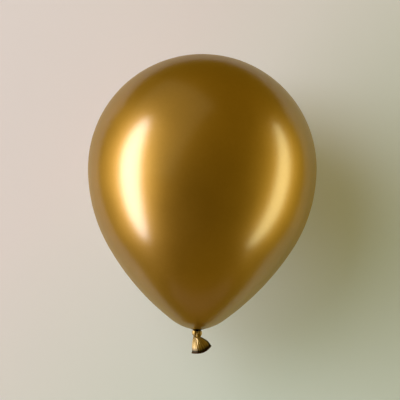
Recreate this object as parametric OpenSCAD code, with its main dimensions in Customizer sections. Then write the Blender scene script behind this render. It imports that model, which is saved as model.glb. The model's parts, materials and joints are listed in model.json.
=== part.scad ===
// Inflated latex balloon, tied off: the film envelope, its gathered neck, the
// overhand knot and the free flared tail with its rolled lip.
// Millimetres, +Z up. The origin is the middle of the neck where the envelope
// ends and the knot begins, the place where a ribbon is tied.

/* [Envelope] */
// Diameter of the inflated envelope at its widest
envelope_d = 280; // [250:5:300]
// Height of the envelope from the neck to the crown
envelope_h = 337.5; // [325:0.5:350]
// Angle below level at which the side's curve gives way to the flatter flank
shoulder_end = 31.5; // [30:0.5:33]
// Angle below level at which the flank turns under towards the neck
flank_end = 53.5; // [51:0.5:56]
// Radius of the curve that turns the film under to the neck
foot_r = 60; // [48:1:70]
// Slope of the underside where it meets the neck, above level
neck_slope = 7; // [4:0.5:10]
// Thickness of the envelope's wall, a stand-in for a much thinner film
film_t = 0.4; // [0.35:0.05:0.5]

/* [Neck] */
// Radius of the hole that the neck leaves the envelope by
neck_hole_r = 3.2; // [3.1:0.1:3.6]
// Radius of the neck's core
neck_core_r = 2.1; // [1.8:0.1:2.2]
// Radius of one pleat round the neck's core
pleat_r = 0.6; // [0.4:0.05:0.7]
// Number of pleats round the neck
pleat_count = 9; // [7:1:11]
// Radius of the thick film that fans out from the neck inside the envelope
flange_r = 8; // [6:0.5:10]
// Thickness of the thick film inside the envelope
flange_t = 0.6; // [0.4:0.1:1]
// Gap between the thick film and the envelope's wall that it lies on
seat_gap = 0.05; // [0.02:0.01:0.1]

/* [Knot] */
// Gap between the envelope's underside and the top of the knot
knot_gap = 0.6; // [0.4:0.1:1]
// Radius of the rope of gathered film in the knot's upper turn
loop_rope_r = 2.1; // [1.9:0.05:2.2]
// Radius of the upper turn, from the neck's axis to the middle of the rope
loop_ring_r = 3.7; // [3.5:0.1:4]
// Radius of the bulge on the knot's left side
left_lobe_r = 2.5; // [2.3:0.1:2.6]
// Distance of the left bulge's centre from the neck's axis
left_lobe_x = 3.9; // [3.5:0.1:4.1]
// Radius of the bulge on the knot's right side
right_lobe_r = 2.4; // [2.2:0.1:2.5]
// Distance of the right bulge's centre from the neck's axis
right_lobe_x = 3.3; // [3:0.1:3.6]
// Depth of the bulges' centres below the middle of the upper turn
lobe_drop = 0.7; // [0.4:0.1:1]
// Radius of the rope of film in the lower turn that crosses under the upper one
cross_rope_r = 1.5; // [1.3:0.05:1.6]
// Radius of the lower turn, from the neck's axis to the middle of the rope
cross_ring_r = 3.9; // [3.8:0.05:4.1]
// Depth of the lower turn's middle below the middle of the upper turn
cross_drop = 3.5; // [3.3:0.1:3.7]
// Tilt of the lower turn, down on the left
cross_tilt = 8; // [4:1:10]
// Gap between the two turns of the knot
bed_gap = 0.05; // [0.02:0.01:0.1]
// Running gap round the neck in the knot
turn_gap = 0.4; // [0.3:0.05:0.5]

/* [Strand] */
// Radius of the rounded head of the strand that leaves the knot
head_r = 2; // [1.8:0.05:2.05]
// Depth of the head's centre below the middle of the lower turn
head_drop = 0.4; // [0.2:0.1:0.8]
// Gap between the end of the neck and the strand's head
head_gap = 0.3; // [0.3:0.05:0.5]
// Radius of the strand below its head
stem_r = 1.1; // [0.9:0.05:1.15]
// Distance from the head's centre to the line about which the tail folds
stem_l = 4.5; // [4.3:0.1:5]
// Radius of the strand's wide end, about which the tail folds
fold_r = 1.3; // [1.25:0.05:1.4]
// Half of the width of the strand's wide end, between its round ends' centres
fold_half = 1.7; // [1.5:0.1:1.9]

/* [Tail] */
// Lean of the tail at rest, from straight down towards +X
tail_lean = 22; // [15:1:24]
// Distance from the fan's apex to the outside of the lip
tail_l = 26.8; // [25:0.2:29]
// Half of the fan's angle
fan_half = 28; // [25:1:30]
// Distance from the fan's apex to the strand's head, along the tail
apex_back = 4.1; // [3.6:0.1:4.4]
// Sideways distance from the fan's middle line to the strand's head
apex_side = 1.2; // [0.9:0.1:1.5]
// Half of the tail's thickness where it folds
root_half = 2.2; // [2.1:0.05:2.4]
// Half of the mouth's thickness, to the middle of the lip
mouth_half = 3.9; // [3.6:0.1:4.4]
// How late the tail opens towards its mouth: 1 is a straight wedge
flare_power = 1.5; // [1:0.1:1.8]
// Thickness of the tail's film
tail_t = 0.4; // [0.3:0.05:0.5]
// Thickness of the gathered film between the fold and the tail's hollow
root_wall = 0.8; // [0.6:0.1:1.4]
// Gap between the strand's wide end and the tail round it
fold_gap = 0.25; // [0.2:0.05:0.3]
// Radius of the rolled lip
lip_r = 0.9; // [0.75:0.05:1]
// Depth to which the tail's edge runs into the rolled lip
lip_bite = 0.3; // [0.25:0.05:0.4]

/* [Hidden] */
$fn = 48;

gold = [0.55, 0.38, 0.10];
dark_gold = [0.42, 0.28, 0.07];
pale_gold = [0.68, 0.52, 0.20];

// Largest turn between neighbouring points of an arc in the envelope's outline
arc_step = 3.5;
// Length by which a cutting shape runs past what it cuts
past = 1;

// The crown is a half sphere. The shoulder and flank arcs below it take the
// radii that bring a smooth chain to the neck at the stated height.
crown_r = envelope_d / 2;
crown_z = envelope_h - crown_r;
x_shoulder = cos(shoulder_end) - 1;
x_flank = cos(flank_end) - cos(shoulder_end);
x_sum = neck_hole_r - foot_r * sin(neck_slope) - crown_r + foot_r * cos(flank_end);
z_shoulder = sin(shoulder_end);
z_flank = sin(flank_end) - sin(shoulder_end);
z_sum = crown_z - foot_r * cos(neck_slope) + foot_r * sin(flank_end);
chain_det = x_shoulder * z_flank - x_flank * z_shoulder;
shoulder_r = (x_sum * z_flank - x_flank * z_sum) / chain_det;
flank_r = (x_shoulder * z_sum - x_sum * z_shoulder) / chain_det;

crown_c = [0, crown_z];
shoulder_c = crown_c + [crown_r - shoulder_r, 0];
flank_c = shoulder_c + (shoulder_r - flank_r) * [cos(shoulder_end), -sin(shoulder_end)];
foot_c = flank_c + (flank_r - foot_r) * [cos(flank_end), -sin(flank_end)];

// Knot and neck levels
loop_z = -knot_gap - loop_rope_r;
lobe_z = loop_z - lobe_drop;
cross_z = loop_z - cross_drop;
neck_r = neck_core_r + pleat_r;
bore_r = neck_r + turn_gap;
head_z = cross_z - head_drop;
neck_end_z = head_z + head_r + head_gap;

// The fan is drawn in a plane with its apex at the origin and its middle along -Z
lip_mid = tail_l - lip_r;
film_end = lip_mid - lip_r + lip_bite;
fold_rho = apex_back + stem_l;
groove_r = fold_r + fold_gap;
hollow_rho = (fold_rho + groove_r + root_wall) / cos(fan_half);
// Points round the fan, rings along it and points round the lip
fan_points = 40;
fan_rings = 8;
lip_points = 12;

// Points of an arc about centre c, with radius r, from angle a to angle b, without the last
function arc(c, r, a, b) =
    let (n = ceil(abs(b - a) / arc_step))
    [for (i = [0:n - 1]) c + r * [cos(a + (b - a) * i / n), sin(a + (b - a) * i / n)]];

// Angle on the foot arc, moved inwards by t, at distance r from the neck's axis
function foot_angle(r, t) = -acos((r - foot_c[0]) / (foot_r - t));

// Points of the foot arc, moved inwards by t, from distance a to distance b from the axis
function foot_arc(a, b, t) = concat(
    arc(foot_c, foot_r - t, foot_angle(a, t), foot_angle(b, t)),
    [foot_c + (foot_r - t) * [cos(foot_angle(b, t)), sin(foot_angle(b, t))]]);

// The envelope's outline from the crown to the neck, moved inwards by t
function outline(t) = concat(
    arc(crown_c, crown_r - t, 90, 0),
    arc(shoulder_c, shoulder_r - t, 0, -shoulder_end),
    arc(flank_c, flank_r - t, -shoulder_end, -flank_end),
    foot_arc(foot_c[0] + (foot_r - t) * cos(flank_end), neck_hole_r, t));

// A list in the opposite order
function reversed(list) = [for (i = [len(list) - 1:-1:0]) list[i]];

// A point of the fan: rho from the apex, turned round the flat section by phi
function fan_point(rho, half, angle, phi) =
    [rho * sin(angle * cos(phi)), half * sin(phi), -rho * cos(angle * cos(phi))];

// Half thickness of the tail at rho from the fan's apex
function half_at(rho) =
    root_half + (mouth_half - root_half)
    * pow(max(0, (rho - fold_rho) / (lip_mid - fold_rho)), flare_power);

// Half angle that leaves a film of thickness t on the fan's edges at rho
function inner_angle(rho, t) = fan_half - asin(t / rho);

// Closed body through a stack of rings with n points each, capped at both ends
module skin(rings, n) {
    count = len(rings);
    first = [for (k = [0:2]) [for (p = rings[0]) p[k]] * [for (i = [1:n]) 1] / n];
    last = [for (k = [0:2]) [for (p = rings[count - 1]) p[k]] * [for (i = [1:n]) 1] / n];
    points = concat([for (ring = rings) each ring], [first, last]);
    sides = [for (j = [0:count - 2], i = [0:n - 1])
        each [[j * n + i, (j + 1) * n + (i + 1) % n, (j + 1) * n + i],
              [j * n + i, j * n + (i + 1) % n, (j + 1) * n + (i + 1) % n]]];
    first_cap = [for (i = [0:n - 1]) [count * n, (i + 1) % n, i]];
    last_cap = [for (i = [0:n - 1])
        [count * n + 1, (count - 1) * n + i, (count - 1) * n + (i + 1) % n]];
    polyhedron(points, concat(sides, first_cap, last_cap));
}

// Body of the fan between two distances from its apex, inside a film of thickness t
module fan(from, to, t) {
    rings = [for (j = [0:fan_rings])
        let (rho = from + (to - from) * j / fan_rings)
        [for (i = [0:fan_points - 1])
            fan_point(rho, half_at(rho) - t, inner_angle(rho, t), 360 * i / fan_points)]];
    skin(rings, fan_points);
}

// Places a child that is drawn in the fan's plane: apex at the origin, middle along -Z
module on_tail() {
    translate([0, 0, head_z])
        rotate([0, -tail_lean, 0])
            translate([-apex_side, 0, apex_back])
                children();
}

// Places a child at the strand's head, with the strand running along -Z
module on_strand() {
    translate([0, 0, head_z])
        rotate([0, -tail_lean, 0])
            children();
}

module envelope() {
    color(gold)
        rotate_extrude()
            polygon(concat(outline(0), reversed(outline(film_t))));
}

// Cross-section of the neck: a core with pleats round it
module pleated_section() {
    circle(r = neck_core_r);
    for (i = [0:pleat_count - 1])
        rotate(360 * i / pleat_count)
            translate([neck_core_r, 0])
                circle(r = pleat_r);
}

module gathered_neck() {
    under = foot_arc(flange_r, neck_r / 2, film_t + seat_gap);
    over = foot_arc(flange_r, neck_r / 2, film_t + seat_gap + flange_t);
    flange_z = over[len(over) - 1][1];
    color(dark_gold)
        union() {
            translate([0, 0, neck_end_z])
                linear_extrude(height = flange_z - neck_end_z)
                    pleated_section();
            rotate_extrude()
                polygon(concat(under, reversed(over)));
        }
}

// The rope of the knot's lower turn, made thicker by the amount extra
module cross_rope(extra) {
    translate([0, 0, cross_z])
        rotate([0, -cross_tilt, 0])
            rotate_extrude()
                translate([cross_ring_r, 0])
                    circle(r = cross_rope_r + extra);
}

module knot_loop() {
    color(pale_gold)
        difference() {
            union() {
                translate([0, 0, loop_z])
                    rotate_extrude()
                        translate([loop_ring_r, 0])
                            circle(r = loop_rope_r);
                translate([-left_lobe_x, 0, lobe_z])
                    sphere(r = left_lobe_r);
                translate([right_lobe_x, 0, lobe_z])
                    sphere(r = right_lobe_r);
            }
            translate([0, 0, head_z])
                cylinder(h = -head_z + past, r = bore_r);
            cross_rope(bed_gap);
        }
}

module knot_crossing() {
    color(dark_gold)
        cross_rope(0);
}

module neck_strand() {
    color(dark_gold)
        on_strand() {
            sphere(r = head_r);
            translate([0, 0, -stem_l])
                cylinder(h = stem_l, r = stem_r);
            translate([-fold_half, 0, -stem_l])
                rotate([0, 90, 0])
                    cylinder(h = 2 * fold_half, r = fold_r);
            for (side = [-1, 1])
                translate([side * fold_half, 0, -stem_l])
                    sphere(r = fold_r);
        }
}

module tail() {
    color(pale_gold)
        difference() {
            on_tail()
                fan(fold_rho, film_end, 0);
            on_tail()
                fan(hollow_rho, film_end + past, tail_t);
            on_strand()
                translate([-tail_l / 2, 0, -stem_l])
                    rotate([0, 90, 0])
                        cylinder(h = tail_l, r = groove_r);
        }
}

module rolled_lip() {
    rings = [for (i = [0:fan_points - 1])
        let (
            phi = 360 * i / fan_points,
            centre = fan_point(lip_mid, mouth_half, fan_half, phi),
            out = fan_point(1, 0, fan_half, phi),
            swing = -lip_mid * sin(phi) * fan_half * PI / 180,
            run = [swing * cos(fan_half * cos(phi)), mouth_half * cos(phi),
                   swing * sin(fan_half * cos(phi))],
            side = cross(run / norm(run), out))
        [for (k = [0:lip_points - 1])
            centre + lip_r * (out * cos(360 * k / lip_points) + side * sin(360 * k / lip_points))]];
    faces = [for (i = [0:fan_points - 1], k = [0:lip_points - 1])
        let (
            a = i * lip_points + k,
            b = ((i + 1) % fan_points) * lip_points + k,
            c = ((i + 1) % fan_points) * lip_points + (k + 1) % lip_points,
            d = i * lip_points + (k + 1) % lip_points)
        each [[a, c, d], [a, b, c]]];
    color(gold)
        on_tail()
            polyhedron([for (ring = rings) each ring], faces);
}

envelope();
gathered_neck();
knot_loop();
knot_crossing();
neck_strand();
tail();
rolled_lip();
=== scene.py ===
"""Looks of the tied latex balloon: film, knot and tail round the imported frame. Metres."""

import json
import math

import bmesh
import bpy
import numpy as np
from mathutils import Matrix, Quaternion, Vector


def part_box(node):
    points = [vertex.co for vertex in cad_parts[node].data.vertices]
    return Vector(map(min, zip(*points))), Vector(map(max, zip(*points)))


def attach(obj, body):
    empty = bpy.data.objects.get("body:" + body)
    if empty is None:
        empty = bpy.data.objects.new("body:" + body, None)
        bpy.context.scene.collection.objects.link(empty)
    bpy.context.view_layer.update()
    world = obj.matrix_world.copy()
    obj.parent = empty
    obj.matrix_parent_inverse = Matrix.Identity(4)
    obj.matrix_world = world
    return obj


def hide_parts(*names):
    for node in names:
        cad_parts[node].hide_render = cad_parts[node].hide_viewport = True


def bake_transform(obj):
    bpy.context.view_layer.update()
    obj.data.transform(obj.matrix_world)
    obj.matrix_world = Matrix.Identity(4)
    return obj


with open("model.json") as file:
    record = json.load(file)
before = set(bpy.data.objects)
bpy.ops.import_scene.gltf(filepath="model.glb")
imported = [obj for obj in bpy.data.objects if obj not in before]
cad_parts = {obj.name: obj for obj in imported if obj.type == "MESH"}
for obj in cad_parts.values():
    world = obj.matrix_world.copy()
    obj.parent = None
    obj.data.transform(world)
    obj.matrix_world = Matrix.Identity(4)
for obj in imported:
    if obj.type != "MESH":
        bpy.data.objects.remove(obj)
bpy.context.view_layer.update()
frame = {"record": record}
MM = 0.001

# ---------------------------------------------------------------- sizes from the frame
ENV_LOW, ENV_HIGH = (np.array(corner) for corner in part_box("envelope"))
JOINTS = {joint["name"]: joint for joint in frame["record"]["behaviour"]["joints"]}
HEAD = np.array(JOINTS["tail_swing"]["pos_m"])
FOLD = np.array(JOINTS["tail_nod"]["pos_m"])
# The tail's own axes at rest: down along it, across its width, and towards its front
DOWN = (FOLD - HEAD) / np.linalg.norm(FOLD - HEAD)
ACROSS = np.array(JOINTS["tail_nod"]["axis"])
FRONT = np.array((0.0, -1.0, 0.0))

# ---------------------------------------------------------------- mesh helpers


def new_object(name, verts, faces, closed=True):
    """A mesh object from vertices and faces. A closed one is smooth, with its normals out."""
    mesh = bpy.data.meshes.new(name)
    mesh.from_pydata([tuple(v) for v in verts], [], faces)
    mesh.validate()
    if closed:
        bm = bmesh.new()
        bm.from_mesh(mesh)
        bmesh.ops.recalc_face_normals(bm, faces=bm.faces)
        bm.to_mesh(mesh)
        bm.free()
        mesh.polygons.foreach_set("use_smooth", [True] * len(mesh.polygons))
    obj = bpy.data.objects.new(name, mesh)
    bpy.context.scene.collection.objects.link(obj)
    return obj


def set_tone(obj, tones):
    """How dark the film is painted at each point, mostly as painted shade: 1 leaves its colour, 0
    is black.
    """
    layer = obj.data.attributes.get("tone") or obj.data.attributes.new("tone", "FLOAT", "POINT")
    layer.data.foreach_set("value", np.clip(tones, 0.0, 1.0).astype(np.float32))


def points_of(obj):
    """The mesh's points as an array."""
    flat = np.empty(3 * len(obj.data.vertices))
    obj.data.vertices.foreach_get("co", flat)
    return flat.reshape(-1, 3)


def hollows(obj, rounds):
    """How deep each point lies below the smoothed surface, in metres: creases are above 0."""
    mesh = obj.data
    points = points_of(obj)
    edges = np.empty(2 * len(mesh.edges), dtype=np.int64)
    mesh.edges.foreach_get("vertices", edges)
    a, b = edges[0::2], edges[1::2]
    count = np.bincount(a, minlength=len(points)) + np.bincount(b, minlength=len(points))
    smooth = points.copy()
    for _ in range(rounds):
        total = np.zeros_like(smooth)
        for k in range(3):
            total[:, k] = np.bincount(a, smooth[b, k], len(points))
            total[:, k] += np.bincount(b, smooth[a, k], len(points))
        smooth = 0.5 * smooth + 0.5 * total / count[:, None]
    normals = np.empty(3 * len(points))
    mesh.vertices.foreach_get("normal", normals)
    return ((smooth - points) * normals.reshape(-1, 3)).sum(axis=1)


def crease_shade(obj, rounds, full_depth, dark):
    """Painted shade in creases: 1 on open film, less in creases, and 1 - dark where a crease is
    full_depth deep or deeper.
    """
    return 1 - dark * np.clip(hollows(obj, rounds) / full_depth, 0, 1)


def grid_faces(rows, columns, first=0):
    """Quads between rows of points, each row closed round."""
    faces = []
    for j in range(rows - 1):
        for i in range(columns):
            k = (i + 1) % columns
            a, b = first + j * columns, first + (j + 1) * columns
            faces.append((a + i, b + i, b + k, a + k))
    return faces


def apply_modifiers(obj):
    """Makes the result of the object's modifiers its mesh."""
    graph = bpy.context.evaluated_depsgraph_get()
    mesh = bpy.data.meshes.new_from_object(obj.evaluated_get(graph))
    old = obj.data
    obj.modifiers.clear()
    obj.data = mesh
    bpy.data.meshes.remove(old)
    mesh.name = obj.name
    mesh.polygons.foreach_set("use_smooth", [True] * len(mesh.polygons))


def smooth_step(low, high, value):
    """0 below low, 1 above high, and an even curve between them."""
    t = np.clip((value - low) / (high - low), 0.0, 1.0)
    return t * t * (3 - 2 * t)


def catmull(points, count):
    """Even samples of a smooth open curve through the points."""
    p = np.array(points, float)
    p = np.vstack([2 * p[0] - p[1], p, 2 * p[-1] - p[-2]])
    out = []
    spans = len(p) - 3
    for s in np.linspace(0, spans, count, endpoint=False):
        i = int(s)
        t = s - i
        a, b, c, d = p[i : i + 4]
        squared = (2 * a - 5 * b + 4 * c - d) * t**2
        cubed = (3 * b - a - 3 * c + d) * t**3
        out.append(0.5 * (2 * b + (c - a) * t + squared + cubed))
    out.append(p[-2])
    return np.array(out)


# ---------------------------------------------------------------- the envelope

# The outline's arcs, as in part.scad: crown, shoulder, flank and foot, with the angles they end at
CROWN_R = (ENV_HIGH[0] - ENV_LOW[0]) / 2
HEIGHT = ENV_HIGH[2]
SHOULDER_END = math.radians(31.5)
FLANK_END = math.radians(53.5)
FOOT_R = 60 * MM
NECK_SLOPE = math.radians(7)
NECK_HOLE_R = 3.2 * MM
# The film turns down through the neck's hole on this radius, and ends this deep in the knot
HOLE_TURN_R = 0.9 * MM
FILM_END_Z = -2.0 * MM

ENVELOPE_COLUMNS = 288
# How far the belly bows sideways, and the share of the height over which it gets there
BOW = 1.6 * MM
BOW_RISE = 0.45
# Only film below this height gathers into the neck
GATHER_TOP = 0.3 * HEIGHT
# The pleats there are waves round the neck: each one's height, number and phase
PLEATS = ((0.55, 9, 0.4), (0.30, 14, 1.9), (0.25, 23, 0.7))
# They are full at the first distance from the axis and gone at the second
PLEAT_FULL_R, PLEAT_END_R = 3 * MM, 17 * MM
PLEAT_LIFT = 0.75 * MM
PLEAT_WIDTH = 0.06
# The ring of painted shade round the neck, partly also the gathered film's darker colour: full and
# gone at these distances, and how dark it is
RING_FULL_R, RING_END_R = 4.5 * MM, 11 * MM
RING_DARK = 0.72
# Painted shade runs out from it along creases. The root of each is darker between these distances
ROOT_FULL_R, ROOT_END_R = 9 * MM, 18 * MM
ROOT_DARK = 0.35
CREASE_FADE_R = 8 * MM
# Each crease of painted shade: its angle in degrees, its half width and its reach in mm, and how
# dark it is
CREASES = (
    (-89, 3.4, 50, 0.42),
    (-48, 2.4, 26, 0.25),
    (-12, 3.0, 34, 0.35),
    (33, 2.6, 28, 0.30),
    (78, 3.2, 40, 0.38),
    (121, 2.4, 24, 0.25),
    (165, 3.0, 36, 0.36),
    (214, 2.6, 28, 0.30),
)


def envelope_outline():
    """Crown to neck as (radius, height) points: four arcs, the middle two solved for the height."""
    foot = np.array((NECK_HOLE_R - FOOT_R * math.sin(NECK_SLOPE), FOOT_R * math.cos(NECK_SLOPE)))
    crown = np.array((0.0, HEIGHT - CROWN_R))
    matrix = np.array(
        (
            (math.cos(SHOULDER_END) - 1, math.cos(FLANK_END) - math.cos(SHOULDER_END)),
            (math.sin(SHOULDER_END), math.sin(FLANK_END) - math.sin(SHOULDER_END)),
        )
    )
    sums = np.array(
        (
            foot[0] - CROWN_R + FOOT_R * math.cos(FLANK_END),
            crown[1] - foot[1] + FOOT_R * math.sin(FLANK_END),
        )
    )
    shoulder_r, flank_r = np.linalg.solve(matrix, sums)
    shoulder = crown + np.array((CROWN_R - shoulder_r, 0))
    turn = np.array((math.cos(SHOULDER_END), -math.sin(SHOULDER_END)))
    flank = shoulder + (shoulder_r - flank_r) * turn
    # Each arc: its centre, its radius, its first and last angle, and its number of points
    arcs = (
        (crown, CROWN_R, math.pi / 2, 0, 72),
        (shoulder, shoulder_r, 0, -SHOULDER_END, 32),
        (flank, flank_r, -SHOULDER_END, -FLANK_END, 32),
        (foot, FOOT_R, -FLANK_END, NECK_SLOPE - math.pi / 2, 48),
    )
    points = []
    for centre, radius, start, end, count in arcs:
        for angle in np.linspace(start, end, count, endpoint=False):
            points.append(centre + radius * np.array((math.cos(angle), math.sin(angle))))
    for angle in np.linspace(0, math.pi / 2, 8):
        radius = NECK_HOLE_R - HOLE_TURN_R * math.sin(angle)
        points.append(np.array((radius, HOLE_TURN_R * (math.cos(angle) - 1))))
    points.append(np.array((NECK_HOLE_R - HOLE_TURN_R, FILM_END_Z)))
    return np.array(points)


def build_envelope():
    """The stretched film, with pleats gathering into the neck and a slight bow of the belly."""
    columns = ENVELOPE_COLUMNS
    outline = envelope_outline()
    angles = np.linspace(0, 2 * math.pi, columns, endpoint=False)
    pleats = sum(high * np.cos(number * angles + phase) for high, number, phase in PLEATS)
    verts = [(belly_bow(HEIGHT), 0.0, HEIGHT)]
    tones = [1.0]
    for radius, height in outline[1:]:
        gathers = height < GATHER_TOP
        near = gathers * (1 - smooth_step(PLEAT_FULL_R, PLEAT_END_R, radius))
        # The end inside the knot stays smooth and level
        lift = PLEAT_LIFT * near**2 * (pleats - 0.2) * (radius > 2.6 * MM)
        r = radius * (1 + PLEAT_WIDTH * near * pleats * (height > -0.5 * MM))
        bow = belly_bow(height)
        # Painted shade round the neck, partly darker gathered film: see pucker_tone
        tones += list(pucker_tone(radius, angles, pleats) if gathers else np.ones(columns))
        for a, up, rr in zip(angles, lift, r):
            verts.append((rr * math.cos(a) + bow, rr * math.sin(a), height + up))
    rows = len(outline) - 1
    faces = [(0, 1 + (i + 1) % columns, 1 + i) for i in range(columns)]
    faces += grid_faces(rows, columns, first=1)
    faces.append(tuple(range(1 + (rows - 1) * columns, 1 + rows * columns)))
    obj = new_object("balloon_film", verts, faces)
    set_tone(obj, np.array(tones))
    return obj


def pucker_tone(radius, angles, pleats):
    """Painted shade where the film gathers into the neck, in a ring and in creases out from it; the
    ring is partly also the gathered film's darker colour.
    """
    ring = 1 - smooth_step(RING_FULL_R, RING_END_R, radius)
    tone = 1 - RING_DARK * ring * (1 + 0.12 * pleats)
    root = ROOT_DARK * (1 - smooth_step(ROOT_FULL_R, ROOT_END_R, radius))
    for place, width, reach, dark in CREASES:
        off = (angles - math.radians(place) + math.pi) % (2 * math.pi) - math.pi
        along = 1 - smooth_step(CREASE_FADE_R, reach * MM, radius)
        tone -= (dark * along + root) * np.exp(-((off * radius / (width * MM)) ** 2))
    return tone


def belly_bow(height):
    """Sideways place of the film's middle at a height: the belly bows a little to one side."""
    return BOW * float(smooth_step(0.0, BOW_RISE * HEIGHT, height))


# ---------------------------------------------------------------- the knot

# The knot's turns are each remeshed into one skin, and the skin is smoothed this many times
KNOT_VOXEL = 0.15 * MM
KNOT_SMOOTHING = 3
# The painted shade in the knot's creases: see crease_shade
KNOT_CREASES = {"rounds": 12, "full_depth": 0.10 * MM, "dark": 0.45}


def strand_mesh(path, radii, ridges, depth, turn):
    """A rope of gathered film along a path: its section has ridges that turn slowly round it."""
    sides = 48
    path = np.array(path)
    tangents = np.gradient(path, axis=0)
    tangents /= np.linalg.norm(tangents, axis=1)[:, None]
    side = np.cross(tangents[0], (0.3, 1.0, 0.2))
    side /= np.linalg.norm(side)
    verts = []
    count = len(path)
    for n in range(count):
        side = side - tangents[n] * side.dot(tangents[n])
        side /= np.linalg.norm(side)
        other = np.cross(tangents[n], side)
        for i in range(sides):
            a = 2 * math.pi * i / sides
            ridge = depth * (
                math.cos(ridges * a + turn * n / count)
                + 0.5 * math.cos((2 * ridges + 1) * a - 0.7 * turn * n / count + 1.0)
            )
            r = radii[n] * (1 + ridge)
            verts.append(path[n] + side * r * math.cos(a) + other * r * math.sin(a))
    faces = grid_faces(count, sides)
    faces.append(tuple(range(sides)))
    faces.append(tuple(range((count - 1) * sides, count * sides)))
    return verts, faces


def remeshed(name, parts, painted_shade):
    """One closed skin round overlapping closed parts, with painted shade in its creases and
    wherever the given function paints it.
    """
    verts, faces = [], []
    for part_verts, part_faces in parts:
        first = len(verts)
        verts += list(part_verts)
        faces += [tuple(first + i for i in face) for face in part_faces]
    obj = new_object(name, verts, faces)
    remesh = obj.modifiers.new("skin", "REMESH")
    remesh.mode = "VOXEL"
    remesh.voxel_size = KNOT_VOXEL
    soften = obj.modifiers.new("soften", "SMOOTH")
    soften.factor = 0.5
    soften.iterations = KNOT_SMOOTHING
    apply_modifiers(obj)
    # The tone is painted shade: darker in creases and where the given function paints it
    set_tone(obj, crease_shade(obj, **KNOT_CREASES) - painted_shade(points_of(obj) / MM))
    return obj


def lobe_mesh(centre, radii, tip, pleats, depth, phase, turn=0.0, blunt=1.0):
    """A bulge of gathered film, in mm and degrees: pleats run from its top to a drawn-out tip.

    A blunt below 1 makes the top fuller. The tip can lie to one side."""
    rows, columns = 40, 72
    centre, radii, tip = (np.array(v, float) * MM for v in (centre, radii, tip))
    plan = np.array(Matrix.Rotation(math.radians(turn), 3, "Z"))
    verts = []
    for j in range(1, rows):
        v = math.pi * j / rows
        up = math.cos(v)
        ring = math.sin(v) ** (blunt if up > 0 else 1.0)
        pull = max(0.0, -up) ** 2.2
        for i in range(columns):
            u = 2 * math.pi * i / columns
            fold = math.cos(pleats * u + phase + 0.5 * up)
            fold += 0.45 * math.cos((2 * pleats + 1) * u - phase)
            r = ring * (1 + depth * fold * ring) * (1 - 0.35 * pull)
            point = centre + plan @ (radii * np.array((r * math.cos(u), r * math.sin(u), up)))
            verts.append(point + (tip - centre + np.array((0, 0, radii[2]))) * pull)
    top, bottom = len(verts), len(verts) + 1
    verts.append(centre + np.array((0, 0, radii[2])))
    verts.append(tip)
    faces = grid_faces(rows - 1, columns)
    for i in range(columns):
        k = (i + 1) % columns
        faces.append((top, i, k))
        faces.append((bottom, (rows - 2) * columns + k, (rows - 2) * columns + i))
    return verts, faces


def rope_between(points, radii, ridges, depth, turn, count):
    """A strand through the points, with a radius for its start, middle and end, all in mm."""
    path = catmull(points, count) * MM
    start, middle, end = radii
    sizes = []
    for n in range(count + 1):
        t = n / count
        base = (1 - t) * start + t * end
        sizes.append((base + (middle - 0.5 * (start + end)) * math.sin(math.pi * t)) * MM)
    return strand_mesh(path, sizes, ridges, depth, turn)


def build_knot_loop():
    """The upper turn: two bulges side by side at the front, joined by a rope round the back."""
    left_bulge = lobe_mesh(
        centre=(-3.25, -0.9, -4.3),
        radii=(3.1, 2.2, 3.75),
        tip=(-2.75, -2.1, -9.7),
        pleats=7,
        depth=0.045,
        phase=0.6,
        turn=-38,
        blunt=0.5,
    )
    right_bulge = lobe_mesh(
        centre=(3.0, -0.7, -4.5),
        radii=(2.85, 2.7, 3.9),
        tip=(3.7, -1.0, -9.4),
        pleats=7,
        depth=0.045,
        phase=2.0,
        blunt=0.55,
    )
    back_rope = rope_between(
        [
            (-3.4, -0.6, -4.4),
            (-3.3, 1.8, -4.2),
            (-0.4, 3.7, -3.5),
            (2.9, 2.2, -2.9),
            (3.3, -0.4, -3.4),
        ],
        radii=(1.9, 1.85, 1.9),
        ridges=5,
        depth=0.07,
        turn=2.4,
        count=60,
    )

    def painted_shade(at):
        """Painted shade under the envelope and towards the right, and darker at the left bulge's
        tip.
        """
        top = 0.45 * smooth_step(-1.0, -0.5, at[:, 2])
        right = 0.35 * smooth_step(1.5, 4.0, at[:, 0])
        tip = 0.5 * (1 - smooth_step(-7.0, -4.0, at[:, 2])) * (at[:, 0] < -0.3)
        return top + right + tip

    return remeshed("knot_loop_film", [left_bulge, right_bulge, back_rope], painted_shade)


def build_knot_crossing():
    """The lower turn round the back, and the strand that comes out between the bulges in front."""
    front_strand = rope_between(
        [
            (1.0, -1.6, -2.4),
            (0.4, -2.9, -4.0),
            (-0.1, -3.3, -5.8),
            (-0.3, -2.8, -7.8),
            (-0.4, -1.1, -10.2),
        ],
        radii=(0.9, 1.25, 1.0),
        ridges=4,
        depth=0.09,
        turn=1.0,
        count=52,
    )
    back_rope = rope_between(
        [
            (-3.2, -0.2, -6.9),
            (-3.0, 1.7, -7.1),
            (0.0, 3.3, -6.6),
            (3.0, 1.7, -5.9),
            (3.3, -0.2, -5.6),
        ],
        radii=(1.3, 1.45, 1.3),
        ridges=5,
        depth=0.08,
        turn=2.6,
        count=56,
    )
    core = lobe_mesh(
        centre=(0.0, 0.3, -6.8),
        radii=(2.6, 2.4, 2.2),
        tip=(0.2, 0.0, -9.2),
        pleats=9,
        depth=0.05,
        phase=0.3,
    )

    def painted_shade(at):
        """Painted shade in the knot's middle, where the strand goes under, and less of it higher
        up.
        """
        middle = 0.5 * smooth_step(-7.8, -6.4, at[:, 2])
        return middle - 0.3 * smooth_step(-5.0, -3.5, at[:, 2])

    return remeshed("knot_crossing_film", [front_strand, back_rope, core], painted_shade)


NECK_R = 2.0
# The whole neck is darkened by this tone: painted shade in the groove between the envelope and the
# knot
NECK_TONE = 0.7


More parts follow.
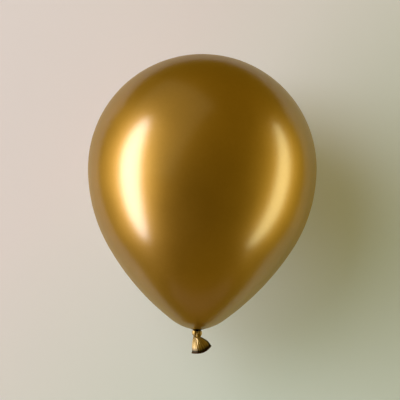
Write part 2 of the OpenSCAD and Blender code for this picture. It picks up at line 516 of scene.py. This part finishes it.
def build_neck():
    """The pleated neck inside the knot, which twists when the knot turns."""
    sides, rows = 96, 14
    low, high = -4.2 * MM, 0.4 * MM
    verts = []
    for j in range(rows):
        z = high + (low - high) * j / (rows - 1)
        for i in range(sides):
            a = 2 * math.pi * i / sides
            r = (NECK_R + 0.16 * math.cos(9 * a + 0.4) + 0.1 * math.cos(14 * a + 1.9)) * MM
            verts.append((r * math.cos(a), r * math.sin(a), z))
    faces = grid_faces(rows, sides)
    faces.append(tuple(range(sides)))
    faces.append(tuple(range((rows - 1) * sides, rows * sides)))
    obj = new_object("neck_pleats", verts, faces)
    # Painted shade over the whole neck
    set_tone(obj, np.full(len(verts), NECK_TONE))
    return obj


# ---------------------------------------------------------------- the tail

# The tail is a flat fan. Rho is the distance from its apex, and FAN_HALF its half angle in degrees
TAIL_L = 26.8 * MM
FAN_HALF = 28.0
LIP_R = 0.85 * MM
APEX = HEAD - DOWN * 4.1 * MM - ACROSS * 1.2 * MM
ROOT_RHO = 5.2 * MM
LIP_RHO = TAIL_L - 0.9 * MM
# How far the skins stand out from the fan's plane, at the mouth and at the root
FRONT_HALF = 6.2 * MM
BACK_HALF = 3.6 * MM
ROOT_HALF = 2.1 * MM
# The least that they do, outside and inside, so that the front never meets the back
OUTER_LEAST, INNER_LEAST = 0.16 * MM, 0.03 * MM
FILM_T = 0.35 * MM
# The tail is solid for this far from its root
SOLID_ROOT = 5 * MM
# The painted shade in the tail's creases: see crease_shade
TAIL_CREASES = {"rounds": 10, "full_depth": 0.06 * MM, "dark": 0.4}

# In the functions below, across goes from -1 at the tail's left edge to 1 at its right one, share
# from 0 at its root to 1 at its mouth, and side is 1 on the front skin and -1 on the back one


def bump_at(value, middle, width):
    """A smooth hump of height 1 round a middle."""
    return math.exp(-(((value - middle) / width) ** 2))


def fan_half(across, share):
    """The fan's half angle. The gathers spread the film's root, and its right edge bellies out."""
    if across > 0:
        belly = math.sin(math.pi * min(1.0, max(0.0, (share - 0.12) / 0.88)))
        return FAN_HALF + 0.5 + 6.3 * belly**0.8
    return FAN_HALF + 0.8 + 12.0 * (1 - share) ** 1.3


def front_ridge(share):
    """Where the front's ridge lies across the tail: it runs from the right to the left."""
    return 0.95 * math.exp(-share / 0.36) - 0.49


def fan_rise(across, share, side):
    """How far the skin rises, from 0 at the edges to 1 on the ridge: the front's is sharp."""
    if side > 0:
        ridge = front_ridge(share)
        if across > ridge:
            reach, power = (across - ridge) / (1 - ridge), 1.25
        else:
            reach, power = (ridge - across) / (1 + ridge), 1.0
    else:
        ridge = 0.2
        reach, power = abs(across - ridge) / (1 + ridge * (1 if across < ridge else -1)), 1.8
    return max(0.0, 1 - min(1.0, reach) ** power) ** 0.8


def fan_folds(across, share, side):
    """The wrinkles: waves along the film, and a groove and a fold along the front's right edge."""
    folds = (
        0.34 * math.sin(8.5 * across + 1.0 + side)
        + 0.24 * math.sin(15.0 * across + 2.1 * share + 2 * side)
        + 0.15 * math.sin(27.0 * across + 0.5)
        - 0.55 * bump_at(across, 0.72, 0.07) * (side > 0)
        + 0.35 * bump_at(across, 0.86, 0.05) * (side > 0)
    )
    # They fade out at the edges, and are calmer towards the mouth and on the left facet
    edge = min(1.0, (1 - abs(across)) / 0.12)
    calm = 1 - 0.45 * share
    if side > 0 and across < front_ridge(share):
        calm *= 0.45
    return MM * folds * edge * calm


def fan_point(rho, phi, inset=0.0):
    """A point of the tail's skin: rho from the apex, phi round its flat section, inset inwards."""
    across = math.cos(phi)
    side = 1.0 if math.sin(phi) >= 0 else -1.0
    share = min(1.0, max(0.0, (rho - ROOT_RHO) / (LIP_RHO - ROOT_RHO)))
    mouth = FRONT_HALF if side > 0 else BACK_HALF
    half = ROOT_HALF + (mouth - ROOT_HALF) * share**0.8
    depth = half * fan_rise(across, share, side) + fan_folds(across, share, side) - inset
    angle = math.radians(fan_half(across, share)) * across - inset / rho * across
    # The mouth's edge waves a little along the tail
    sway = 1 + 0.014 * math.sin(3.1 * across + 0.6 + (1.4 if side < 0 else 0)) * share
    along = rho * sway
    return (
        APEX
        + DOWN * along * math.cos(angle)
        + ACROSS * along * math.sin(angle)
        + FRONT * side * max(depth, OUTER_LEAST if inset == 0 else INNER_LEAST)
    )


def tail_tones(rhos, phis):
    """Painted shade along the tail's edges and a painted highlight down its groove. The film also
    darkens towards the rolled lip, partly as thicker film and partly as painted shade.
    """
    tones = []
    for rho in rhos:
        # Darker towards the lip: partly thicker film, partly painted shade
        low = float(smooth_step(-8.0 * MM, -1.5 * MM, rho - LIP_RHO))
        rim = 0.65 * float(smooth_step(-3.4 * MM, -2.2 * MM, rho - LIP_RHO))
        for phi in phis:
            across = math.cos(phi)
            # Painted shade along the folded edges
            edge = 0.7 * float(smooth_step(0.80, 0.93, across))
            edge += 0.2 * float(smooth_step(0.93, 0.99, -across))
            lip = low * (0.55 + 0.1 * float(smooth_step(-0.9, 0.2, across)))
            # A painted highlight runs down the groove beside the right edge
            line = 0.25 * bump_at(across, 0.74, 0.04)
            tone = (0.87 - 0.15 * low) * (1 - lip) * (1 - edge) * (1 - rim)
            tones.append(tone + line * (1 - rim))
    return np.array(tones)


def build_tail():
    """The slack, flared end of the neck: a thin sleeve, closed at its root, open at its mouth."""
    columns, rows = 192, 56
    verts = []
    phis = [2 * math.pi * (i + 0.5) / columns for i in range(columns)]
    outer = [ROOT_RHO + (LIP_RHO - ROOT_RHO) * j / (rows - 1) for j in range(rows)]
    for rho in outer:
        verts += [fan_point(rho, phi) for phi in phis]
    inner = [LIP_RHO - (LIP_RHO - ROOT_RHO - SOLID_ROOT) * j / (rows - 1) for j in range(rows)]
    for rho in inner:
        verts += [fan_point(rho, phi, FILM_T) for phi in phis]
    faces = grid_faces(2 * rows, columns)
    faces.append(tuple(range(columns)))
    faces.append(tuple(range((2 * rows - 1) * columns, 2 * rows * columns)))
    obj = new_object("tail_film", verts, faces)
    set_tone(obj, tail_tones(outer + inner, phis) * crease_shade(obj, **TAIL_CREASES))
    return obj


def build_lip():
    """The rolled bead along the tail's mouth."""
    columns, sides, smoothing = 200, 20, 8
    centres = []
    for i in range(columns):
        phi = 2 * math.pi * (i + 0.5) / columns
        centres.append(fan_point(LIP_RHO, phi, FILM_T / 2))
    centres = np.array(centres)
    for _ in range(smoothing):
        centres = 0.5 * centres + 0.25 * (np.roll(centres, 1, 0) + np.roll(centres, -1, 0))
    verts = []
    for i in range(columns):
        run = centres[(i + 1) % columns] - centres[i - 1]
        run /= np.linalg.norm(run)
        out = centres[i] - APEX
        out -= run * out.dot(run)
        out /= np.linalg.norm(out)
        side = np.cross(run, out)
        a = 2 * math.pi * i / columns
        r = LIP_R * (1 + 0.05 * math.sin(5 * a) + 0.03 * math.sin(13 * a + 1))
        for k in range(sides):
            b = 2 * math.pi * k / sides
            verts.append(centres[i] + r * (out * math.cos(b) + side * math.sin(b)))
    faces = []
    for i in range(columns):
        j = (i + 1) % columns
        for k in range(sides):
            m = (k + 1) % sides
            faces.append((i * sides + k, j * sides + k, j * sides + m, i * sides + m))
    obj = new_object("lip_bead", verts, faces)
    set_tone(obj, np.ones(len(verts)))
    return obj


# ---------------------------------------------------------------- materials

CLOUD_SCALE = 14.0
GRAIN_SHARE = 0.35  # of the fine grain in the film's colour, beside the clouds
GRAIN_HEIGHT = 0.2 * MM
DULLING = 0.4  # how much rougher the film is where its tone is 0
WARM_RIM = (1.0, 0.80, 0.45)


def fill_ramp(node, stops):
    """Sets a colour ramp's stops: each is a position and a colour, in rising order."""
    elements = node.color_ramp.elements
    while len(elements) < len(stops):
        elements.new(1.0)
    for element, (position, colour) in zip(elements, stops):
        element.position = position
        element.color = (*colour, 1)


def latex(name, dark, pale, roughness, coat, grain, bump, skin, rim=WARM_RIM):
    """Gold chrome latex: tinted metal flake under a clear skin, with cloudy colour and fine grain.

    Dark and pale are the ends of its colour, rim its colour at a grazing angle, and skin the
    clear skin's roughness and refractive index."""
    material = bpy.data.materials.new(name)
    material.use_nodes = True
    nodes, links = material.node_tree.nodes, material.node_tree.links
    shader = nodes["Principled BSDF"]
    place = nodes.new("ShaderNodeTexCoord")
    clouds = nodes.new("ShaderNodeTexNoise")
    clouds.inputs["Scale"].default_value = CLOUD_SCALE
    clouds.inputs["Detail"].default_value = 3.0
    flakes = nodes.new("ShaderNodeTexNoise")
    flakes.inputs["Scale"].default_value = grain
    flakes.inputs["Detail"].default_value = 2.0
    for texture in (clouds, flakes):
        links.new(place.outputs["Object"], texture.inputs["Vector"])
    both = nodes.new("ShaderNodeMath")
    both.operation = "MULTIPLY_ADD"
    both.inputs[1].default_value = GRAIN_SHARE
    links.new(flakes.outputs["Fac"], both.inputs[0])
    links.new(clouds.outputs["Fac"], both.inputs[2])
    colours = nodes.new("ShaderNodeValToRGB")
    fill_ramp(colours, ((0.45, dark), (0.90, pale)))
    links.new(both.outputs[0], colours.inputs["Fac"])
    # The tone attribute carries painted shade, and on the tail a painted highlight line: it darkens
    # the colour and the clear coat, and makes the film rougher
    tone = nodes.new("ShaderNodeAttribute")
    tone.attribute_name = "tone"
    toned = nodes.new("ShaderNodeMix")
    toned.data_type = "RGBA"
    toned.blend_type = "MULTIPLY"
    toned.inputs["Factor"].default_value = 1.0
    links.new(colours.outputs["Color"], toned.inputs["A"])
    links.new(tone.outputs["Fac"], toned.inputs["B"])
    links.new(toned.outputs["Result"], shader.inputs["Base Color"])
    clear = nodes.new("ShaderNodeMath")
    clear.operation = "MULTIPLY"
    clear.inputs[1].default_value = coat
    links.new(tone.outputs["Fac"], clear.inputs[0])
    links.new(clear.outputs[0], shader.inputs["Coat Weight"])
    rough = nodes.new("ShaderNodeMapRange")
    rough.inputs["From Min"].default_value = 0.3
    rough.inputs["From Max"].default_value = 0.7
    rough.inputs["To Min"].default_value = roughness - 0.02
    rough.inputs["To Max"].default_value = roughness + 0.03
    links.new(clouds.outputs["Fac"], rough.inputs["Value"])
    matte = nodes.new("ShaderNodeMath")
    matte.operation = "MULTIPLY_ADD"
    matte.inputs[1].default_value = -DULLING
    links.new(tone.outputs["Fac"], matte.inputs[0])
    lifted = nodes.new("ShaderNodeMath")
    lifted.inputs[1].default_value = DULLING
    links.new(rough.outputs["Result"], lifted.inputs[0])
    links.new(lifted.outputs[0], matte.inputs[2])
    links.new(matte.outputs[0], shader.inputs["Roughness"])
    relief = nodes.new("ShaderNodeBump")
    relief.inputs["Strength"].default_value = bump
    relief.inputs["Distance"].default_value = GRAIN_HEIGHT
    links.new(flakes.outputs["Fac"], relief.inputs["Height"])
    links.new(relief.outputs["Normal"], shader.inputs["Normal"])
    shader.inputs["Metallic"].default_value = 1.0
    shader.inputs["Specular Tint"].default_value = (*rim, 1)
    shader.inputs["Coat Roughness"].default_value = skin[0]
    shader.inputs["Coat IOR"].default_value = skin[1]
    return material


stretched = latex(
    "stretched_latex",
    dark=(0.429, 0.233, 0.0249),
    pale=(0.484, 0.268, 0.0337),
    roughness=0.46,
    coat=0.44,
    grain=260.0,
    bump=0.05,
    skin=(0.226, 2.9),
    rim=(0.54, 0.60, 0.28),
)
gathered = latex(
    "gathered_latex",
    dark=(0.33, 0.20, 0.035),
    pale=(0.52, 0.34, 0.09),
    roughness=0.38,
    coat=0.45,
    grain=900.0,
    bump=0.25,
    skin=(0.30, 1.8),
)
slack = latex(
    "slack_latex",
    dark=(0.30, 0.18, 0.03),
    pale=(0.46, 0.30, 0.07),
    roughness=0.40,
    coat=0.50,
    grain=900.0,
    bump=0.25,
    skin=(0.34, 2.4),
)
# The rolled lip's near-black colour is partly its thicker film and partly painted shade
rolled = latex(
    "rolled_latex",
    dark=(0.035, 0.014, 0.002),
    pale=(0.07, 0.03, 0.006),
    roughness=0.5,
    coat=0.05,
    grain=900.0,
    bump=0.20,
    skin=(0.24, 1.5),
    rim=(0.4, 0.2, 0.06),
)

# ---------------------------------------------------------------- pieces

film = build_envelope()
film.data.materials.append(stretched)
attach(film, "balloon")
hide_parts("envelope")

neck = build_neck()
neck.data.materials.append(gathered)
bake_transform(neck)
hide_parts("gathered_neck")

loop = build_knot_loop()
loop.data.materials.append(gathered)
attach(loop, "knot")
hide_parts("knot_loop")

crossing = build_knot_crossing()
crossing.data.materials.append(gathered)
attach(crossing, "knot")
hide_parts("knot_crossing")

tail = build_tail()
tail.data.materials.append(slack)
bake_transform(tail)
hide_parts("tail", "neck_strand")

lip = build_lip()
lip.data.materials.append(rolled)
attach(lip, "tail")
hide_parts("rolled_lip")

# ---------------------------------------------------------------- stage

# The wall's ends are outside the camera's view, and the balloon mirrors them near its own edge
WALL_Y = 0.17
WALL_LEFT, WALL_RIGHT = -0.43, 0.49
WALL_BOTTOM, WALL_TOP = -0.30, 0.52
FLOOR_Z = -0.80
FLOOR_FRONT = -0.06
WARM_WALL, COOL_WALL = (0.80, 0.78, 0.88), (0.70, 0.83, 0.86)
SAND = (0.56, 0.44, 0.24)
COOLER = (1.0, 0.0, -0.8)  # the direction in which the colours go from warm to cool


def plain_stage(name, corners, warm, cool, one_sided):
    """A plain sheet of floor or wall, from a warm colour at its upper left to a cool one.

    A one-sided sheet can't be seen from behind."""
    sheet = new_object(name, corners, [(0, 1, 2, 3)], closed=False)
    material = bpy.data.materials.new(name)
    material.use_nodes = True
    nodes, links = material.node_tree.nodes, material.node_tree.links
    shader = nodes["Principled BSDF"]
    place = nodes.new("ShaderNodeTexCoord")
    slope = nodes.new("ShaderNodeVectorMath")
    slope.operation = "DOT_PRODUCT"
    slope.inputs[1].default_value = COOLER
    shades = nodes.new("ShaderNodeValToRGB")
    fill_ramp(shades, ((0.12, warm), (0.62, cool)))
    shift = nodes.new("ShaderNodeMath")
    shift.inputs[1].default_value = 0.45
    links.new(place.outputs["Object"], slope.inputs[0])
    links.new(slope.outputs["Value"], shift.inputs[0])
    links.new(shift.outputs[0], shades.inputs["Fac"])
    links.new(shades.outputs["Color"], shader.inputs["Base Color"])
    shader.inputs["Roughness"].default_value = 0.9
    shader.inputs["Specular IOR Level"].default_value = 0.2
    if one_sided:
        clear = nodes.new("ShaderNodeBsdfTransparent")
        mix = nodes.new("ShaderNodeMixShader")
        back = nodes.new("ShaderNodeNewGeometry")
        links.new(back.outputs["Backfacing"], mix.inputs["Fac"])
        links.new(shader.outputs["BSDF"], mix.inputs[1])
        links.new(clear.outputs["BSDF"], mix.inputs[2])
        links.new(mix.outputs["Shader"], nodes["Material Output"].inputs["Surface"])
    sheet.data.materials.append(material)


plain_stage(
    "floor",
    [
        (WALL_LEFT, FLOOR_FRONT, FLOOR_Z),
        (WALL_RIGHT, FLOOR_FRONT, FLOOR_Z),
        (WALL_RIGHT, WALL_Y, FLOOR_Z),
        (WALL_LEFT, WALL_Y, FLOOR_Z),
    ],
    SAND,
    SAND,
    False,
)
plain_stage(
    "wall",
    [
        (WALL_LEFT, WALL_Y, WALL_BOTTOM),
        (WALL_RIGHT, WALL_Y, WALL_BOTTOM),
        (WALL_RIGHT, WALL_Y, WALL_TOP),
        (WALL_LEFT, WALL_Y, WALL_TOP),
    ],
    WARM_WALL,
    COOL_WALL,
    True,
)

# ---------------------------------------------------------------- lights

MIDDLE = Vector((0, 0, 0.18))


def softbox(
    name,
    azimuth,
    elevation,
    distance,
    width,
    height,
    radiance,
    colour,
    roll=0.0,
    shape="RECTANGLE",
):
    """A soft lamp that faces the balloon's middle.

    Its place and size are angles in degrees there, with azimuth from the front to the right."""
    a, e = math.radians(azimuth), math.radians(elevation)
    way = Vector((math.sin(a) * math.cos(e), -math.cos(a) * math.cos(e), math.sin(e)))
    data = bpy.data.lights.new(name, "AREA")
    data.shape = shape
    data.size = 2 * distance * math.tan(math.radians(width) / 2)
    data.size_y = 2 * distance * math.tan(math.radians(height) / 2)
    fill = math.pi / 4 if shape == "ELLIPSE" else 1.0
    data.energy = radiance * math.pi * data.size * data.size_y * fill
    data.color = colour
    lamp = bpy.data.objects.new(name, data)
    bpy.context.scene.collection.objects.link(lamp)
    lamp.location = MIDDLE + way * distance
    turn = (-way).to_track_quat("-Z", "Y") @ Quaternion((0, 0, 1), math.radians(roll))
    lamp.rotation_euler = turn.to_euler()
    lamp.visible_camera = False
    return lamp


softbox(
    "key_left",
    azimuth=-75.8,
    elevation=-1.8,
    distance=5.0,
    width=23.9,
    height=83.0,
    radiance=6.69,
    colour=(1.0, 0.97, 0.97),
    roll=-4.2,
    shape="ELLIPSE",
)
softbox(
    "fill_right",
    azimuth=86.0,
    elevation=-7.8,
    distance=4.0,
    width=16.8,
    height=83.9,
    radiance=3.80,
    colour=(1.0, 0.97, 0.53),
    roll=-8.8,
    shape="ELLIPSE",
)
softbox(
    "glow_left",
    azimuth=-55.5,
    elevation=37.1,
    distance=5.5,
    width=70.6,
    height=88.7,
    radiance=0.22,
    colour=(1.0, 0.95, 0.48),
)
wall_light = softbox(
    "wall_light",
    azimuth=-36.4,
    elevation=19.7,
    distance=3.0,
    width=39.7,
    height=29.9,
    radiance=3.50,
    colour=(1.0, 0.97, 0.98),
)
wall_light.visible_glossy = False

# The room round the stage: its colour at each height, from straight down at 0 to straight up at 1
ROOM_COLOURS = (
    (0.0, (0.272, 0.182, 0.0078)),
    (0.07, (0.155, 0.104, 0.0044)),
    (0.15, (0.155, 0.104, 0.0044)),
    (0.5, (0.201, 0.135, 0.0057)),
    (0.80, (0.247, 0.165, 0.0070)),
)

world = bpy.data.worlds.new("room")
bpy.context.scene.world = world
world.use_nodes = True
sky, sky_links = world.node_tree.nodes, world.node_tree.links
background = sky["Background"]
direction = sky.new("ShaderNodeTexCoord")
axes = sky.new("ShaderNodeSeparateXYZ")
shades = sky.new("ShaderNodeValToRGB")
rise = sky.new("ShaderNodeMapRange")
rise.inputs["From Min"].default_value = -1.0
rise.inputs["From Max"].default_value = 1.0
sky_links.new(direction.outputs["Generated"], axes.inputs[0])
sky_links.new(axes.outputs["Z"], rise.inputs["Value"])
sky_links.new(rise.outputs["Result"], shades.inputs["Fac"])
sky_links.new(shades.outputs["Color"], background.inputs["Color"])
fill_ramp(shades, ROOM_COLOURS)
background.inputs["Strength"].default_value = 1.0

# ---------------------------------------------------------------- camera

# The camera looks level at the balloon's front. FRAME_WIDTH is what it sees there, and its roll
# is the lean of the balloon in the photo
CAMERA_DISTANCE = 2.2
FRAME_WIDTH = 0.4906
SENSOR = 36.0
ROLL = math.radians(1.35)
VIEW_X, VIEW_Z = -0.3 * MM, 158.8 * MM

camera_data = bpy.data.cameras.new("camera")
camera_data.sensor_width = SENSOR
camera_data.lens = SENSOR * CAMERA_DISTANCE / FRAME_WIDTH
camera = bpy.data.objects.new("camera", camera_data)
bpy.context.scene.collection.objects.link(camera)
right = Vector((math.cos(ROLL), 0, math.sin(ROLL)))
up = Vector((-math.sin(ROLL), 0, math.cos(ROLL)))
back = Vector((0, -1, 0))
turn = Matrix((right, up, back)).transposed().to_4x4()
camera.matrix_world = Matrix.Translation((VIEW_X, -CAMERA_DISTANCE, VIEW_Z)) @ turn
bpy.context.scene.camera = camera
bpy.context.scene.view_settings.view_transform = "Standard"
